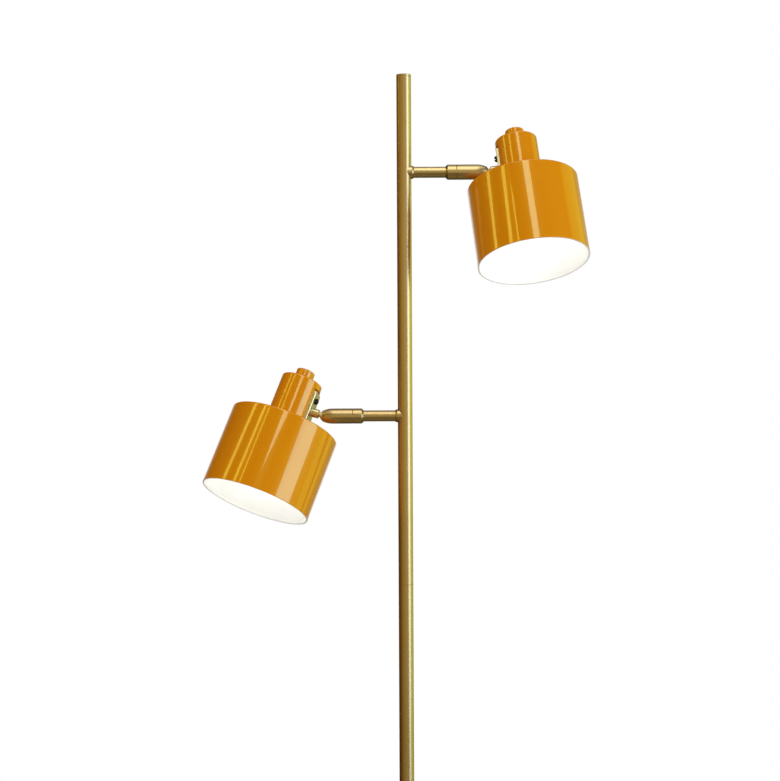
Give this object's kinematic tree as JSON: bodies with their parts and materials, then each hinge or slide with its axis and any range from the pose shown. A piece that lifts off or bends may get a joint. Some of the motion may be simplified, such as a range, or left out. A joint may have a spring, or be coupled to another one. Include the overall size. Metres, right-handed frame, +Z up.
{
  "type": "floor lamp",
  "caption": "Floor lamp: slim brass pole on a round weighted base, with two cylinder spot shades on short arms that swivel on ball joints.",
  "frame": {"origin": "centre of the base's flat underside, on the pole's axis", "axes": "+Z up along the pole, +X to the right towards the upper shade, -Y to the front"},
  "size_m": [0.414, 0.262, 1.6717],
  "materials": {
    "lacquer": "gloss",
    "brass": "polished",
    "black_screw": "satin",
    "steel": "satin",
    "iron": "matte",
    "felt_pad": "matte",
    "phenolic": "satin",
    "nylon": "satin",
    "opal_glass": "gloss"
  },
  "bodies": {
    "stand": {"base_collar": "brass", "base_cover": "brass", "base_pad": "felt_pad", "base_weight": "iron", "cord_bush": "phenolic", "foot_nut": "steel", "foot_stud": "steel", "joint_studs": "steel", "lower_arm_nipple": "steel", "lower_arm_nut": "steel", "lower_arm_tube": "brass", "lower_joint_housing": "brass", "lower_lock_collar": "brass", "lower_saddle": "brass", "lower_spring_discs": "steel", "pole_bottom": "brass", "pole_middle": "brass", "pole_top": "brass", "top_cap": "brass", "tube_inserts": "steel", "upper_arm_nipple": "steel", "upper_arm_nut": "steel", "upper_arm_tube": "brass", "upper_joint_housing": "brass", "upper_lock_collar": "brass", "upper_saddle": "brass", "upper_spring_discs": "steel"},
    "upper_seat": {"upper_ball_seat": "nylon"},
    "upper_ball": {"upper_ball_stud": "brass", "upper_stud_nut": "steel"},
    "upper_head": {"upper_shade": "lacquer", "upper_neck_housing": "lacquer", "upper_bracket_plate": "brass", "upper_bracket_screws": "black_screw", "upper_finial_nut": "lacquer", "upper_threaded_nipple": "steel", "upper_nipple_locknut": "steel", "upper_lampholder": "phenolic", "upper_socket_shell": "brass", "upper_socket_contact": "brass", "upper_shade_ring": "phenolic", "upper_bulb_cap": "steel", "upper_bulb_glass": "opal_glass"},
    "lower_seat": {"lower_ball_seat": "nylon"},
    "lower_ball": {"lower_ball_stud": "brass", "lower_stud_nut": "steel"},
    "lower_head": {"lower_shade": "lacquer", "lower_neck_housing": "lacquer", "lower_bracket_plate": "brass", "lower_bracket_screws": "black_screw", "lower_finial_nut": "lacquer", "lower_threaded_nipple": "steel", "lower_nipple_locknut": "steel", "lower_lampholder": "phenolic", "lower_socket_shell": "brass", "lower_socket_contact": "brass", "lower_shade_ring": "phenolic", "lower_bulb_cap": "steel", "lower_bulb_glass": "opal_glass"}
  },
  "joints": [
    {"name": "upper_turn", "type": "hinge", "parent": "stand", "child": "upper_seat", "pos_m": [0.087, 0, 1.5657], "axis": [1, 0, 0], "range_deg": [-168.6, 101.4]},
    {"name": "upper_tilt", "type": "hinge", "parent": "upper_seat", "child": "upper_ball", "pos_m": [0.087, 0, 1.5657], "axis": [0, 0.8329, 0.5534], "range_deg": [-18.1, 37.9]},
    {"name": "upper_roll", "type": "hinge", "parent": "upper_ball", "child": "upper_head", "pos_m": [0.087, 0, 1.5657], "axis": [0.9851, -0.0951, 0.1432], "range_deg": [-37.2, 142.8]},
    {"name": "lower_turn", "type": "hinge", "parent": "stand", "child": "lower_seat", "pos_m": [-0.087, 0, 1.3017], "axis": [1, 0, 0], "range_deg": [-91.4, 178.6]},
    {"name": "lower_tilt", "type": "hinge", "parent": "lower_seat", "child": "lower_ball", "pos_m": [-0.087, 0, 1.3017], "axis": [0, 0.7242, -0.6896], "range_deg": [-49.5, 6.5]},
    {"name": "lower_roll", "type": "hinge", "parent": "lower_ball", "child": "lower_head", "pos_m": [-0.087, 0, 1.3017], "axis": [0.9304, -0.2527, -0.2654], "range_deg": [-112.8, 67.2]}
  ]
}
